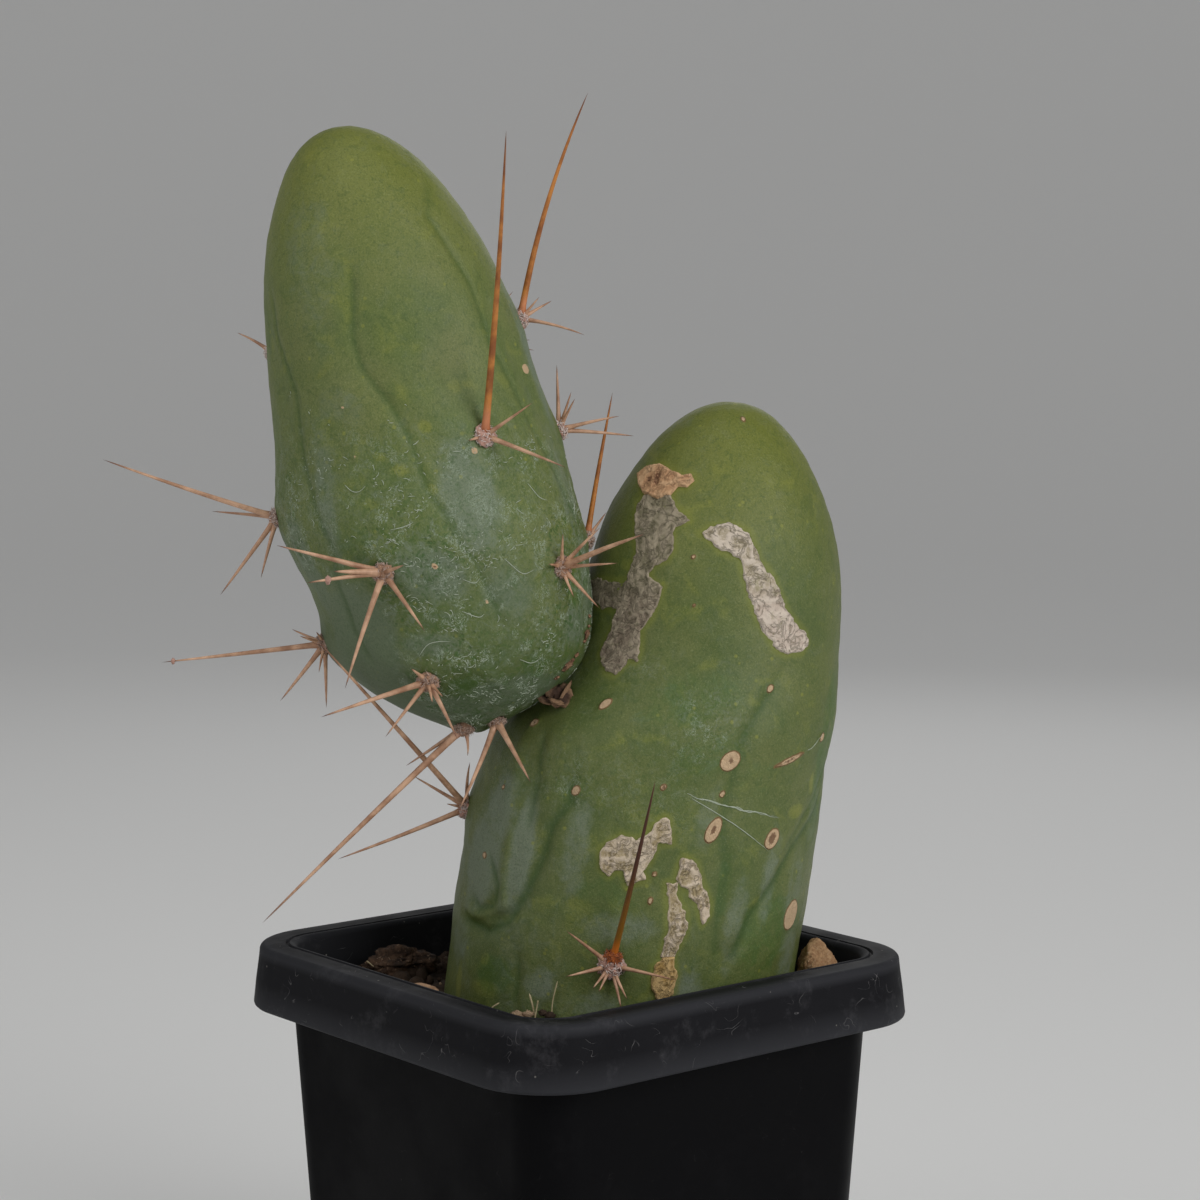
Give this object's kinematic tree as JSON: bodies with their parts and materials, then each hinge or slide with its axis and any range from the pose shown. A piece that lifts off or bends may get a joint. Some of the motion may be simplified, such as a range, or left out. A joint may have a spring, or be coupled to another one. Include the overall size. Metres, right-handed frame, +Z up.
{
  "type": "potted monstrose bolivian torch cactus",
  "caption": "Spiny columnar cactus with a smooth blunt main stem and an egg-shaped branch, growing in a small square nursery pot.",
  "frame": {"origin": "middle of the pot's flat underside, on the surface that the pot stands on", "axes": "+Z up, X and Y along the pot's sides; the plant's best-seen side faces between +X and -Y"},
  "size_m": [0.072, 0.0982, 0.1831],
  "materials": {
    "pot_plastic": "matt black moulded plastic, lightly scratched and dusty",
    "soil_mix": "coarse gritty potting mix",
    "main_skin": "waxy olive green skin with corky scars",
    "branch_skin": "waxy green skin with a grey-blue bloom low down",
    "spine_horn": "smooth horny tan with dark red-brown tips, on pale felted cushions",
    "bark": "rough brown bark",
    "pebble": "pale worn stone",
    "pumice": "porous tan stone"
  },
  "bodies": {
    "root": {"pot": "pot_plastic", "soil": "soil_mix", "stem_main": "main_skin", "stem_branch": "branch_skin", "spines_main_01": "spine_horn", "spines_main_02": "spine_horn", "spines_main_03": "spine_horn", "spines_main_04": "spine_horn", "spines_main_05": "spine_horn", "spines_main_06": "spine_horn", "spines_branch_01": "spine_horn", "spines_branch_02": "spine_horn", "spines_branch_03": "spine_horn", "spines_branch_04": "spine_horn", "spines_branch_05": "spine_horn", "spines_branch_06": "spine_horn", "spines_branch_07": "spine_horn", "spines_branch_08": "spine_horn", "spines_branch_09": "spine_horn", "spines_branch_10": "spine_horn", "spines_branch_11": "spine_horn", "spines_branch_12": "spine_horn", "spines_branch_13": "spine_horn", "spines_branch_14": "spine_horn", "spines_branch_15": "spine_horn", "spines_branch_16": "spine_horn", "spines_branch_17": "spine_horn", "spines_branch_18": "spine_horn", "soil_bark": "bark", "soil_pebble": "pebble", "soil_pumice": "pumice"}
  },
  "joints": []
}
